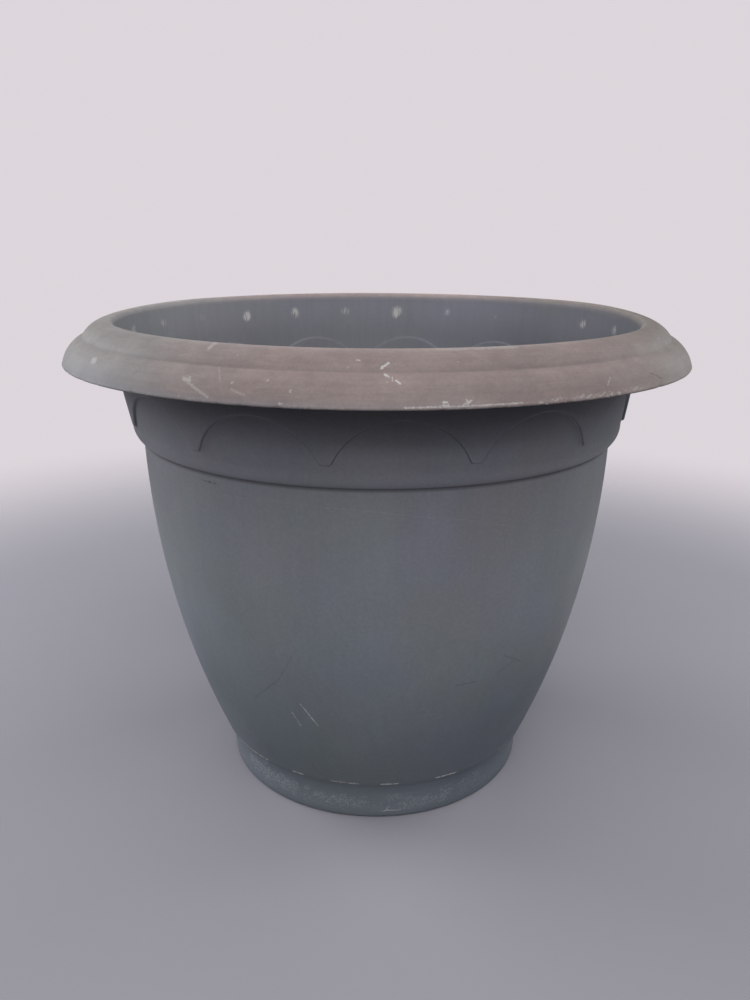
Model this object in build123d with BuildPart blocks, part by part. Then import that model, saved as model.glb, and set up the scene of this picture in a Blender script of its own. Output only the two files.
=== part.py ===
from build123d import *
import os
from math import sqrt

# A round, bell-shaped plastic planter. It is moulded with a thin, even wall: a rolled rim with a
# drooping flange, a collar with a row of sunken arches, a plain rounded belly, and a separate foot
# tray. Inside are a raised soil grid and four drain plugs.
#
# Millimetres, +Z up. The Z axis is the pot's axis, z = 0 is the floor that it stands on, and the
# middle of one arch faces the front, -Y. Sections are drawn on the XZ plane as (radius, height).

# ---------------------------------------------------------------- driving dimensions
rim_diameter = 585.0
total_height = 464.0
wall = 3.0

seam_height = 40.0          # underside of the pot's floor, where the tray ends
waist_height = 350.7        # where the belly meets the collar
band_height = 371.5         # top of the plain band, and the flat ends of the drape's tabs
lip_height = 425.5          # lower edge of the drooping flange
heel_radius = 3.15          # rounding between the pot's floor and its belly

belly_radius = 841.6        # the belly's section is one long arc
belly_centre = (-614.3, 364.3)

collar_bulge = (233.4, 356.6)       # a point on the collar's rounded lower edge
collar_face = (236.3, 368.0)        # where that edge becomes the arches' face
collar_slope = 0.144                # outward lean of the collar, per millimetre of height
drape_relief = 2.4                  # how far the drape stands in front of the arches

arch_count = 13
arch_radius = 56.6
inner_arch_radius = 60.8
arch_cutter_length = 80.0
inner_band_lift = 5.5               # the drape's inner hollow starts this far above the band
arch_centre_height = 350.4
front_angle = -90.0                 # the front faces -Y

inner_rim_radius = 246.0
turn_radius = 5.5                   # the tight turn from the inner wall to the rim's top
roll_radius = 25.0                  # the rim's rounded top
flange_radius = 33.0
flange_centre_height = 420.2

gusset_count = 24
gusset_thickness = 2.2
gusset_phase = 4.6                  # the first gusset's angle from the front
gusset_tip_inset = 7.0              # how far the plate's tip stays inside the flange
gusset_foot_lift = 4.0

spigot_radius = 152.5               # the ring under the pot that finds its place in the tray
spigot_depth = 12.0
drain_hole_radius = 9.0
drain_circle_radius = 100.0
drain_count = 4
drain_phase = 22.5

foot_radius = 151.5                 # outer edge of the flat ring that the pot stands on
foot_inner_radius = 134.0
foot_edge = 3.0                     # height of the rounding between the foot's ring and its side
foot_edge_radius = 3.06
foot_ring_slope = 3.0               # width of the slope up from the ring to the raised middle
tray_lower_radius = 154.5
tray_upper_radius = 156.8
tray_recess = 4.0                   # lift of the tray's middle above the floor
rest_gap = 0.2                      # clearance between pieces that rest on each other

grid_radius = 172.0
grid_top = 90.0
grid_plate = 3.0
grid_leg_circle = 120.0
grid_leg_count = 6

# ---------------------------------------------------------------- derived values
rim_radius = rim_diameter / 2
turn_centre = (inner_rim_radius + turn_radius, total_height - turn_radius)
roll_centre = (turn_centre[0], total_height - roll_radius)
lip_rise = lip_height - flange_centre_height
flange_centre = (rim_radius - sqrt(flange_radius**2 - lip_rise**2), flange_centre_height)
floor_top = seam_height + wall
tray_top = seam_height - rest_gap
collar_top = 431.0                  # height where the collar goes out of sight under the rim
hollow_radius = inner_rim_radius + wall
hollow_height = 448.0


def belly_r(z, inside=0.0):
    """Radius of the belly's outer face at height z, or of a face that lies inside it."""
    rise = z - belly_centre[1]
    return belly_centre[0] + sqrt((belly_radius - inside) ** 2 - rise**2)


def arch_face_r(z):
    """Radius of the face that the arches are sunk to."""
    return collar_face[0] + collar_slope * (z - collar_face[1])


def drape_face_r(z):
    """Radius of the drape, which hangs in front of the arches' face."""
    return arch_face_r(z) + drape_relief


def circles_meet(centre_a, radius_a, centre_b, radius_b):
    """The outer one of the two points where two circles of a section cross."""
    run = centre_b[0] - centre_a[0]
    drop = centre_b[1] - centre_a[1]
    gap = sqrt(run**2 + drop**2)
    along = (radius_a**2 - radius_b**2 + gap**2) / (2 * gap)
    across = sqrt(radius_a**2 - along**2)
    r = centre_a[0] + (along * run - across * drop) / gap
    z = centre_a[1] + (along * drop + across * run) / gap
    return (r, z)


def on_circle(centre, radius, r):
    """The upper point of a circle at radius r from the pot's axis."""
    return (r, centre[1] + sqrt(radius**2 - (r - centre[0]) ** 2))


crease = circles_meet(roll_centre, roll_radius, flange_centre, flange_radius)
inner_crease = circles_meet(roll_centre, roll_radius - wall, flange_centre, flange_radius - wall)
lip_inner_r = flange_centre[0] + sqrt((flange_radius - wall) ** 2 - lip_rise**2)


# ---------------------------------------------------------------- pot shell
# The drape is a second, proud layer on the collar. Thirteen arches are cut out of it, which leaves
# a narrow tab with a flat end between each two arches.
with BuildPart() as drape_layer:
    with BuildSketch(Plane.XZ):
        with BuildLine():
            Polyline(
                (arch_face_r(band_height) - wall / 2, band_height),
                (drape_face_r(band_height), band_height),
                (drape_face_r(collar_top), collar_top),
                (hollow_radius, hollow_height),
                (hollow_radius - wall / 2, hollow_height),
                (arch_face_r(collar_top) - wall / 2, collar_top),
                close=True,
            )
        make_face()
    revolve(axis=Axis.Z)
    with Locations((0, 0, arch_centre_height)):
        with PolarLocations(arch_face_r(band_height), arch_count, start_angle=front_angle):
            Cylinder(arch_radius, arch_cutter_length, rotation=(0, 90, 0), mode=Mode.SUBTRACT)

# The wall keeps its thickness, so the drape shows on the inside as a shallow hollow.
inner_band_height = band_height + inner_band_lift
with BuildPart() as drape_hollow:
    with BuildSketch(Plane.XZ):
        with BuildLine():
            Polyline(
                (arch_face_r(inner_band_height) - 2 * wall, inner_band_height),
                (drape_face_r(inner_band_height) - wall, inner_band_height),
                (drape_face_r(collar_top) - wall, collar_top),
                (inner_rim_radius, hollow_height),
                (inner_rim_radius - wall, hollow_height),
                (arch_face_r(collar_top) - 2 * wall, collar_top),
                close=True,
            )
        make_face()
    revolve(axis=Axis.Z)
    with Locations((0, 0, arch_centre_height)):
        with PolarLocations(arch_face_r(band_height), arch_count, start_angle=front_angle):
            Cylinder(
                inner_arch_radius,
                arch_cutter_length,
                rotation=(0, 90, 0),
                mode=Mode.SUBTRACT,
            )

# One gusset: a thin plate under the rim, between the collar's top and the flange.
with BuildPart() as gusset:
    with BuildSketch(Plane.XZ):
        with BuildLine():
            skin = wall / 2
            top_inner = (turn_centre[0], total_height - skin)
            crease_skin = circles_meet(
                roll_centre, roll_radius - skin, flange_centre, flange_radius - skin
            )
            roll_arc = RadiusArc(top_inner, crease_skin, roll_radius - skin)
            tip = on_circle(flange_centre, flange_radius - skin, rim_radius - gusset_tip_inset)
            flange_arc = RadiusArc(roll_arc @ 1, tip, flange_radius - skin)
            lower_edge = Line(flange_arc @ 1, (hollow_radius - skin, collar_top + gusset_foot_lift))
            wall_edge = Line(lower_edge @ 1, (hollow_radius - skin, turn_centre[1]))
            Line(wall_edge @ 1, roll_arc @ 0)
        make_face()
    extrude(amount=gusset_thickness / 2, both=True)

with BuildPart() as pot_shell:
    # The whole wall is one closed section: floor, belly, collar, rim and flange.
    with BuildSketch(Plane.XZ):
        with BuildLine():
            heel_z = seam_height + wall
            under = Line((0, seam_height), (belly_r(seam_height) - wall, seam_height))
            heel = RadiusArc(under @ 1, (belly_r(heel_z), heel_z), -heel_radius)
            belly_mid = (heel_z + waist_height) / 2
            belly = ThreePointArc(
                heel @ 1, (belly_r(belly_mid), belly_mid), (belly_r(waist_height), waist_height)
            )
            collar_edge = ThreePointArc(belly @ 1, collar_bulge, collar_face)
            collar = Line(collar_edge @ 1, (arch_face_r(collar_top), collar_top))
            under_rim = Line(collar @ 1, (hollow_radius, hollow_height))
            hollow = Line(under_rim @ 1, (hollow_radius, turn_centre[1]))
            inner_turn = RadiusArc(
                hollow @ 1, (turn_centre[0], total_height - wall), turn_radius - wall
            )
            under_roll = RadiusArc(inner_turn @ 1, inner_crease, roll_radius - wall)
            under_flange = RadiusArc(
                under_roll @ 1, (lip_inner_r, lip_height), flange_radius - wall
            )
            lip = Line(under_flange @ 1, (rim_radius, lip_height))
            flange = RadiusArc(lip @ 1, crease, -flange_radius)
            roll = RadiusArc(flange @ 1, (turn_centre[0], total_height), -roll_radius)
            turn = RadiusArc(roll @ 1, (inner_rim_radius, turn_centre[1]), -turn_radius)
            rim_inside = Line(turn @ 1, (inner_rim_radius, hollow_height))
            rim_to_collar = Line(rim_inside @ 1, (arch_face_r(collar_top) - wall, collar_top))
            inside = Line(
                rim_to_collar @ 1, (collar_face[0] - wall, collar_face[1])
            )
            inner_waist_z = waist_height + wall
            waist = ThreePointArc(
                inside @ 1,
                (collar_bulge[0] - wall, collar_bulge[1] + wall),
                (belly_r(inner_waist_z, wall), inner_waist_z),
            )
            inner_belly = ThreePointArc(
                waist @ 1,
                (belly_r(belly_mid, wall), belly_mid),
                (belly_r(floor_top + wall, wall), floor_top + wall),
            )
            corner = RadiusArc(
                inner_belly @ 1, (belly_r(floor_top, wall) - wall, floor_top), heel_radius
            )
            floor_line = Line(corner @ 1, (0, floor_top))
            Line(floor_line @ 1, under @ 0)
        make_face()
    revolve(axis=Axis.Z)
    add(drape_layer.part)
    add(drape_hollow.part, mode=Mode.SUBTRACT)
    with PolarLocations(0, gusset_count, start_angle=front_angle + gusset_phase):
        add(gusset.part)
    # A ring under the floor centres the pot in its tray.
    with BuildSketch(Plane.XY.offset(seam_height - spigot_depth)):
        Circle(spigot_radius)
        Circle(spigot_radius - wall, mode=Mode.SUBTRACT)
    extrude(amount=spigot_depth + wall / 2)
    with BuildSketch(Plane.XY.offset(seam_height)):
        with PolarLocations(drain_circle_radius, drain_count, start_angle=drain_phase):
            Circle(drain_hole_radius)
    extrude(amount=wall, mode=Mode.SUBTRACT)

# ---------------------------------------------------------------- base tray
rib_thickness = 2.4
rib_end_gap = 1.5           # room between the spokes and the ring under the pot
rib_outer_radius = spigot_radius - wall - rib_end_gap
rib_rings = (40.0, 120.0)
rib_count = 8
with BuildPart() as base_tray:
    # The tray is a shallow dish whose middle is lifted, so that only its outer ring stands on the
    # floor.
    with BuildSketch(Plane.XZ):
        with BuildLine():
            middle = Line((0, tray_recess), (foot_inner_radius - foot_ring_slope, tray_recess))
            step_down = Line(middle @ 1, (foot_inner_radius, 0))
            ring = Line(step_down @ 1, (foot_radius, 0))
            edge = RadiusArc(ring @ 1, (tray_lower_radius, foot_edge), -foot_edge_radius)
            side = Line(edge @ 1, (tray_upper_radius, tray_top))
            rim = Line(side @ 1, (tray_upper_radius - wall, tray_top))
            inner_side = Line(rim @ 1, (tray_lower_radius - wall, foot_edge + wall))
            inner_edge = RadiusArc(inner_side @ 1, (foot_radius - wall, wall), foot_edge_radius)
            ring_floor = Line(inner_edge @ 1, (foot_inner_radius + foot_ring_slope, wall))
            step_up = Line(ring_floor @ 1, (foot_inner_radius, tray_recess + wall))
            middle_floor = Line(step_up @ 1, (0, tray_recess + wall))
            Line(middle_floor @ 1, middle @ 0)
        make_face()
    revolve(axis=Axis.Z)
    # Two ring ribs and eight spokes carry the pot's floor.
    with BuildSketch(Plane.XY.offset(tray_recess + wall / 2)):
        for ring_radius in rib_rings:
            Circle(ring_radius)
            Circle(ring_radius - rib_thickness, mode=Mode.SUBTRACT)
        spoke_length = rib_outer_radius - rib_rings[0] + rib_thickness / 2
        with PolarLocations(rib_rings[0] - rib_thickness / 2 + spoke_length / 2, rib_count):
            Rectangle(spoke_length, rib_thickness)
    extrude(amount=tray_top - tray_recess - wall / 2)

# ---------------------------------------------------------------- soil grid
leg_top_radius = 16.0
leg_foot_radius = 12.0
leg_wall = 2.0
leg_bottom = floor_top + rest_gap
grid_underside = grid_top - grid_plate
skirt_depth = 8.0
slot_length = 20.0
slot_width = 4.0
slot_rings = ((56.0, 12), (86.0, 20), (154.0, 36))      # radius, and number of slots
slot_turns = (20.0, 30.0, 40.0)     # angles of the three slots between each two legs
finger_hole_radius = 12.0
finger_hole_offset = 26.0
leg_hole_radius = 3.0
leg_hole_height = 8.0               # above the leg's foot
leg_hole_reach = 40.0               # half the length of the cut across a leg
with BuildPart() as soil_grid:
    with BuildSketch(Plane.XY.offset(grid_underside)):
        Circle(grid_radius)
    extrude(amount=grid_plate)
    with BuildSketch(Plane.XY.offset(grid_top - skirt_depth)):
        Circle(grid_radius)
        Circle(grid_radius - leg_wall, mode=Mode.SUBTRACT)
    extrude(amount=skirt_depth)
    # Six hollow legs, open at the top, let soil reach down to the water.
    leg_height = grid_top - leg_bottom
    with Locations((0, 0, leg_bottom)):
        with PolarLocations(grid_leg_circle, grid_leg_count):
            Cone(
                leg_foot_radius,
                leg_top_radius,
                leg_height,
                align=(Align.CENTER, Align.CENTER, Align.MIN),
            )
    with Locations((0, 0, leg_bottom + leg_wall)):
        with PolarLocations(grid_leg_circle, grid_leg_count):
            Cone(
                leg_foot_radius - leg_wall,
                leg_top_radius - leg_wall,
                leg_height - leg_wall,
                align=(Align.CENTER, Align.CENTER, Align.MIN),
                mode=Mode.SUBTRACT,
            )
    # Slots in rings let water through the plate.
    with BuildSketch(Plane.XY.offset(grid_underside)):
        for ring_radius, slots in slot_rings:
            with PolarLocations(ring_radius, slots):
                SlotOverall(slot_length, slot_width)
        for turn in slot_turns:
            with PolarLocations(grid_leg_circle, grid_leg_count, start_angle=turn):
                SlotOverall(slot_length, slot_width)
        with Locations((-finger_hole_offset, 0), (finger_hole_offset, 0)):
            Circle(finger_hole_radius)
    extrude(amount=grid_plate, mode=Mode.SUBTRACT)
    # Two holes low in each leg let the water in.
    for leg in range(grid_leg_count):
        across = Plane.XZ.rotated((0, 0, leg * 360 / grid_leg_count)).offset(-leg_hole_reach)
        with BuildSketch(across):
            with Locations((grid_leg_circle, leg_bottom + leg_hole_height)):
                Circle(leg_hole_radius)
        extrude(amount=2 * leg_hole_reach, mode=Mode.SUBTRACT)

# ---------------------------------------------------------------- drain plugs
plug_clearance = 0.2
plug_head_radius = 13.0
plug_head_thickness = 2.5
plug_rise = 4.0             # how far the plug's top stands above the pot's floor
plug_head_top = seam_height - rest_gap
plug_chamfer = 1.5
plug_grip_length = 16.0
plug_grip_thickness = 2.4
plug_grip_depth = 8.0
plugs = []
for number in range(drain_count):
    plug_angle = drain_phase + number * 360 / drain_count
    with BuildPart() as plug:
        # The stem fills the drain hole from below, with a rounded top.
        with BuildSketch(Plane.XY.offset(plug_head_top)):
            with PolarLocations(drain_circle_radius, 1, start_angle=plug_angle):
                Circle(drain_hole_radius - plug_clearance)
        extrude(amount=rest_gap + wall + plug_rise)
        chamfer(plug.edges().group_by(Axis.Z)[-1], plug_chamfer)
        # The head lies against the underside of the pot's floor, and has a grip to pull it by.
        with BuildSketch(Plane.XY.offset(plug_head_top)):
            with PolarLocations(drain_circle_radius, 1, start_angle=plug_angle):
                Circle(plug_head_radius)
        extrude(amount=-plug_head_thickness)
        with BuildSketch(Plane.XY.offset(plug_head_top - plug_head_thickness)):
            with PolarLocations(drain_circle_radius, 1, start_angle=plug_angle):
                Rectangle(plug_grip_length, plug_grip_thickness)
        extrude(amount=-plug_grip_depth)
    plugs.append(plug.part)

# ---------------------------------------------------------------- output
os.makedirs("parts", exist_ok=True)
pot_shell.part.label = "pot_shell"
export_step(pot_shell.part, "parts/pot_shell.step")
base_tray.part.label = "base_tray"
export_step(base_tray.part, "parts/base_tray.step")
soil_grid.part.label = "soil_grid"
export_step(soil_grid.part, "parts/soil_grid.step")
for number, plug_part in enumerate(plugs, start=1):
    plug_part.label = f"drain_plug_{number}"
    export_step(plug_part, f"parts/drain_plug_{number}.step")
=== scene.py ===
"""Looks of a round, bell-shaped plastic planter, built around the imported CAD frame.

Metres, +Z up. The Z axis is the pot's axis, and the middle of one arch faces the front, -Y.
Sections are worked out in millimetres, as (radius, height), and turned to metres with the mesh.
"""

from math import atan2, cos, dist, hypot, pi, radians, sin, sqrt

import bmesh
import bpy
import numpy as np
from mathutils import Matrix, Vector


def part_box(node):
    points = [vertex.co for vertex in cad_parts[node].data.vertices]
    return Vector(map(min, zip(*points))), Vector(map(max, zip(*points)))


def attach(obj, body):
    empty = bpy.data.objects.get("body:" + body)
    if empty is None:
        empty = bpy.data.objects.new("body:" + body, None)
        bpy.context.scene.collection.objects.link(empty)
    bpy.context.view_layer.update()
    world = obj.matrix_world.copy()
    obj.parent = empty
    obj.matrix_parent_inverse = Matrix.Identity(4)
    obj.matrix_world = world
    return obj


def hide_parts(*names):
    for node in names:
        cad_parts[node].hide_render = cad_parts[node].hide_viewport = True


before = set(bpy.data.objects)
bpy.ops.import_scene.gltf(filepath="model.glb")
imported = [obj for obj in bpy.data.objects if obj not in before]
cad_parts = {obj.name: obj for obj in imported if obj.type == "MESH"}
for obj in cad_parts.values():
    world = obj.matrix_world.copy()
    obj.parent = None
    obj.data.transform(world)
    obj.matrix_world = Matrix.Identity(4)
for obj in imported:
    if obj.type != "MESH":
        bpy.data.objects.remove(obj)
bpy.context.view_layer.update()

MM = 0.001
FULL = 2 * pi
FRONT = -pi / 2
SHARP_ANGLE = radians(38)
SAME_PLACE = 1e-7


def node_size(node):
    """Widest radius, lowest and highest height of a CAD node, in millimetres."""
    low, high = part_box(node)
    return (high.x - low.x) / 2 / MM, low.z / MM, high.z / MM


# ---- sizes, in millimetres
_, SPIGOT_LOW, TOP = node_size("pot_shell")
_, _, TRAY_TOP = node_size("base_tray")
GRID_RADIUS, LEG_LOW, GRID_TOP = node_size("soil_grid")
_, PLUG_LOW, PLUG_TOP = node_size("drain_plug_1")

# Heights up the pot: floor, fold under the collar, flat band between arches, lip, hollow rim.
WALL = 3.0
SEAM = 40.0
WAIST = 350.7
BAND = 371.5
INNER_BAND = BAND + 5.5
LIP = 425.5
COLLAR_TOP = 431.0
HOLLOW_TOP = 448.0
# The belly is one wide arc. Above the fold, the collar bulges out and leans back a little.
BELLY_RADIUS = 841.6
BELLY_CENTRE = (-614.3, 364.3)
COLLAR_BULGE = (233.4, 356.6)
COLLAR_FACE = (236.3, 368.0)
COLLAR_SLOPE = 0.144
# The drape that lies over the collar, with its scalloped edge.
RELIEF = 2.4
EDGE_BLEND = 4.0
ARCHES = 13
SECTOR = FULL / ARCHES
ARCH_RADIUS = 56.6
INNER_ARCH_RADIUS = 60.8
ARCH_CENTRE = 350.4
# The rim turns over at its inner edge, rolls outward and ends in a hanging flange.
RIM_RADIUS = 292.5
INNER_RIM = 246.0
TURN_RADIUS = 5.5
ROLL_RADIUS = 25.0
FLANGE_RADIUS = 33.0
FLANGE_LOW = 420.2
TURN_CENTRE = (INNER_RIM + TURN_RADIUS, TOP - TURN_RADIUS)
ROLL_CENTRE = (TURN_CENTRE[0], TOP - ROLL_RADIUS)
LIP_RISE = LIP - FLANGE_LOW
FLANGE_CENTRE = (RIM_RADIUS - sqrt(FLANGE_RADIUS**2 - LIP_RISE**2), FLANGE_LOW)
LIP_INNER = FLANGE_CENTRE[0] + sqrt((FLANGE_RADIUS - WALL) ** 2 - LIP_RISE**2)
# A moulded rim is never quite round or level, and has small knocks along the lip.
OUT_OF_ROUND = 0.22
OUT_OF_LEVEL = 0.35
KNOCKS = 46
# The rim has sunk at the front: by how much, round to where, and from what height up.
DROOP = 3.9
DROOP_MIDDLE = -98.0
DROOP_FULL = 75.0
DROOP_NONE = 125.0
DROOP_FOOT = 405.0
DROOP_CURVE = 1.15
# Gussets under the rim, and how white each has pulled the inner wall, going round by +X.
GUSSETS = 24
GUSSET_PHASE = radians(4.6)
GUSSET_THICKNESS = 2.2
STRESS = (
    0.3, 0.5, 0.15, 0.6, 0.4, 0.2, 0.3, 0.4, 0.05, 0.15, 0.3, 1.0,
    0.4, 0.5, 0.8, 0.2, 0.3, 0.5, 0.25, 0.6, 0.1, 0.4, 0.8, 0.3,
)
# Ring under the floor that locates in the tray, and the drain holes.
SPIGOT = 152.5
DRAINS = 4
DRAIN_HOLE = 9.0
DRAIN_CIRCLE = 100.0
DRAIN_PHASE = radians(22.5)
# The tray stands on a flat ring, and is hollowed under the middle.
FOOT = 151.5
FOOT_INNER = 134.0
TRAY_LOW_RADIUS = 154.5
TRAY_TOP_RADIUS = 156.8
TRAY_RECESS = 4.0


# ---- sections
def belly_r(z, inside=0.0):
    """Radius of the belly's outer face at a height, or of a face that lies inside it."""
    return BELLY_CENTRE[0] + sqrt((BELLY_RADIUS - inside) ** 2 - (z - BELLY_CENTRE[1]) ** 2)


def arch_face_r(z):
    """Radius of the face that the arches are sunk to."""
    return COLLAR_FACE[0] + COLLAR_SLOPE * (z - COLLAR_FACE[1])


def drape_r(z):
    """Radius of the drape's outer face."""
    return arch_face_r(z) + RELIEF


def inner_face_r(z):
    """Radius of the drape's inner face, which bends upright towards the rim's inner edge."""
    top = TURN_CENTRE[1]
    bend = 2 * (drape_r(top) - WALL - INNER_RIM) / COLLAR_SLOPE
    above = np.maximum(z - (top - bend), 0)
    return drape_r(z) - WALL - COLLAR_SLOPE * above**2 / (2 * bend)


def circles_meet(centre_a, radius_a, centre_b, radius_b):
    """The outer one of the two points where two circles of a section cross."""
    run = centre_b[0] - centre_a[0]
    drop = centre_b[1] - centre_a[1]
    gap = hypot(run, drop)
    along = (radius_a**2 - radius_b**2 + gap**2) / (2 * gap)
    across = sqrt(radius_a**2 - along**2)
    r = centre_a[0] + (along * run - across * drop) / gap
    z = centre_a[1] + (along * drop + across * run) / gap
    return (r, z)


def rim_crease(depth):
    """Where the roll meets the flange, on a face that lies inside the rim's outer one."""
    return circles_meet(ROLL_CENTRE, ROLL_RADIUS - depth, FLANGE_CENTRE, FLANGE_RADIUS - depth)


def line(start, end, shares):
    """Points on a straight line at some shares of its length."""
    return [(start[0] + (end[0] - start[0]) * t, start[1] + (end[1] - start[1]) * t) for t in shares]


def arc(centre, radius, start, end, count):
    """Points on a circle from one point to another, both included."""
    first = atan2(start[1] - centre[1], start[0] - centre[0])
    last = atan2(end[1] - centre[1], end[0] - centre[0])
    angles = np.linspace(first, last, count)
    return [(centre[0] + radius * cos(a), centre[1] + radius * sin(a)) for a in angles]


def arc_through(start, middle, end, count):
    """Points on the arc that passes through three points."""
    (ax, ay), (bx, by), (cx, cy) = start, middle, end
    d = 2 * (ax * (by - cy) + bx * (cy - ay) + cx * (ay - by))
    a2, b2, c2 = ax**2 + ay**2, bx**2 + by**2, cx**2 + cy**2
    centre = (
        (a2 * (by - cy) + b2 * (cy - ay) + c2 * (ay - by)) / d,
        (a2 * (cx - bx) + b2 * (ax - cx) + c2 * (bx - ax)) / d,
    )
    return arc(centre, dist(centre, start), start, end, count)


def polar(distance, angle):
    """A point at a distance from the axis."""
    return (distance * cos(angle), distance * sin(angle))


def circle_loop(x, y, radius, count):
    """Points of a circle on a plane."""
    angles = np.arange(count) * FULL / count
    return [(x + radius * cos(a), y + radius * sin(a)) for a in angles]


def slot_loop(distance, angle, length, width, grow):
    """Points of a round-ended slot whose long axis points at the pot's axis."""
    half = (length - width) / 2
    radius = width / 2 + grow
    points = []
    for end, turn in ((half, -pi / 2), (-half, pi / 2)):
        for a in np.linspace(turn, turn + pi, 9):
            points.append((distance + end + radius * cos(a), radius * sin(a)))
    c, s = cos(angle), sin(angle)
    return [(x * c - y * s, x * s + y * c) for x, y in points]


# ---- mesh tools
def added(name, data):
    """A new object of the scene, with its mesh, light or camera."""
    made = bpy.data.objects.new(name, data)
    bpy.context.scene.collection.objects.link(made)
    return made


def new_object(name, vertices, faces):
    """A mesh object from points in metres."""
    mesh = bpy.data.meshes.new(name)
    mesh.from_pydata([tuple(v) for v in vertices], [], faces)
    mesh.validate()
    return added(name, mesh)


def finish_mesh(piece):
    """Turns the faces outward, and shades them smooth except at sharp edges."""
    bm = bmesh.new()
    bm.from_mesh(piece.data)
    bmesh.ops.remove_doubles(bm, verts=bm.verts, dist=SAME_PLACE)
    bmesh.ops.recalc_face_normals(bm, faces=bm.faces)
    bm.to_mesh(piece.data)
    bm.free()
    piece.data.polygons.foreach_set("use_smooth", [True] * len(piece.data.polygons))
    piece.data.set_sharp_from_angle(angle=SHARP_ANGLE)


def moulded(name, parts):
    """A finished piece made of several closed solids, each a list of vertices and of faces."""
    vertices, faces, offset = [], [], 0
    for part_vertices, part_faces in parts:
        vertices.append(part_vertices)
        faces += [[i + offset for i in face] for face in part_faces]
        offset += len(part_vertices)
    piece = new_object(name, np.concatenate(vertices), faces)
    finish_mesh(piece)
    return piece


def paint(piece, name, values):
    """Keeps a number on each vertex for the materials to read."""
    attribute = piece.data.attributes.new(name, "FLOAT", "POINT")
    attribute.data.foreach_set("value", np.ascontiguousarray(values, np.float32).ravel())


def ring_points(r, z, columns):
    """Points of a level ring round the axis."""
    angles = np.arange(columns) * FULL / columns
    return np.stack([r * np.cos(angles), r * np.sin(angles), np.full(columns, z)], axis=1)


def lathe_faces(rings, columns):
    """Quads between rings of vertices that each go once round the axis."""
    j = np.arange(columns)
    k = (j + 1) % columns
    faces = []
    for i in range(rings - 1):
        low, high = i * columns, (i + 1) * columns
        faces += np.stack([low + j, low + k, high + k, high + j], axis=1).tolist()
    return faces


def turned(section, columns, centre=(0.0, 0.0)):
    """A closed solid turned from a section that starts and ends on its own upright axis."""
    body = section[1:-1]
    rings = [ring_points(r, z, columns) for r, z in body]
    ends = [[0, 0, section[0][1]], [0, 0, section[-1][1]]]
    vertices = np.concatenate(rings + [ends]) + [*centre, 0]
    faces = lathe_faces(len(body), columns)
    start = len(body) * columns
    last = start - columns
    for j in range(columns):
        k = (j + 1) % columns
        faces.append([start, k, j])
        faces.append([start + 1, last + j, last + k])
    return vertices * MM, faces


def tube(section, columns):
    """A ring-shaped solid turned from a closed section clear of the axis."""
    rings = [ring_points(r, z, columns) for r, z in section + section[:1]]
    return np.concatenate(rings) * MM, lathe_faces(len(rings), columns)


def taken_from(bm, angle=0.0, scale=MM):
    """Vertices and faces of a bmesh, turned about the axis and scaled. The bmesh is freed."""
    bm.verts.index_update()
    c, s = cos(angle), sin(angle)
    points = [(v.co.x * c - v.co.y * s, v.co.x * s + v.co.y * c, v.co.z) for v in bm.verts]
    faces = [[v.index for v in f.verts] for f in bm.faces]
    bm.free()
    return np.array(points) * scale, faces


def rounded_block(low, high, angle, edge):
    """A box with rounded edges, given by its corners, turned about the axis."""
    bm = bmesh.new()
    bmesh.ops.create_cube(bm, size=1)
    for v in bm.verts:
        v.co = [(low[i] + high[i]) / 2 + v.co[i] * (high[i] - low[i]) for i in range(3)]
    bmesh.ops.bevel(bm, geom=list(bm.edges), offset=edge, segments=3, affect="EDGES", profile=0.5)
    return taken_from(bm, angle)


def new_ring(bm, points, z):
    """New vertices at (x, y) points on a level plane, all in millimetres."""
    return [bm.verts.new((x * MM, y * MM, z * MM)) for x, y in points]


def fill_plate(bm, loops):
    """Fills the flat area between closed loops of vertices."""
    edges = []
    for loop in loops:
        for a, b in zip(loop, loop[1:] + loop[:1]):
            edges.append(bm.edges.get((a, b)) or bm.edges.new((a, b)))
    bmesh.ops.triangle_fill(bm, use_beauty=True, use_dissolve=False, edges=edges)


def bridge(bm, lower, upper):
    """Quads between two loops with the same number of vertices."""
    for a, b, c, d in zip(lower, lower[1:] + lower[:1], upper[1:] + upper[:1], upper):
        bm.faces.new((a, b, c, d))


# ---- pot shell
def sector_angles():
    """Column angles of one arch, closer together where the drape's tabs are."""
    tab, tip = 0.65, 0.85
    steps = np.concatenate([
        np.linspace(0, tab, 16, endpoint=False),
        np.linspace(tab, tip, 8, endpoint=False),
        np.linspace(tip, 1, 9),
    ])
    return np.concatenate([-steps[:0:-1], steps[:-1]]) * SECTOR / 2


def smooth_max(a, b, blend):
    """The larger of two values, rounded off where they are nearly equal."""
    share = np.maximum(blend - np.abs(a - b), 0) / blend
    return np.maximum(a, b) + share**2 * blend / 4


def scallop(angles, outset, radius, flat, surface_r):
    """Height of the drape's edge at each angle, or of a line that keeps a distance above it."""
    across = surface_r * np.sin(angles)
    reach = (radius + outset) ** 2 - across**2
    arch = ARCH_CENTRE + np.sqrt(np.maximum(reach, 0))
    return smooth_max(arch, np.full_like(arch, flat + outset), EDGE_BLEND)


# Radius of the arches, height of the flat band between them, and radius of the wall there.
OUTER_ARCHES = (ARCH_RADIUS, BAND, arch_face_r(BAND + 3))
INNER_ARCHES = (INNER_ARCH_RADIUS, INNER_BAND, arch_face_r(INNER_BAND) - WALL)
# Distance above the drape's edge, and the share of the relief reached there.
EDGE_STEPS = (
    (-1.4, 0.0), (-0.7, 0.01), (-0.35, 0.12), (-0.12, 0.38), (0.1, 0.68),
    (0.32, 0.9), (0.65, 0.98), (1.2, 1.0),
)
BELOW_EDGE = EDGE_STEPS[0][0]
ABOVE_EDGE = EDGE_STEPS[-1][0]


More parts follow.
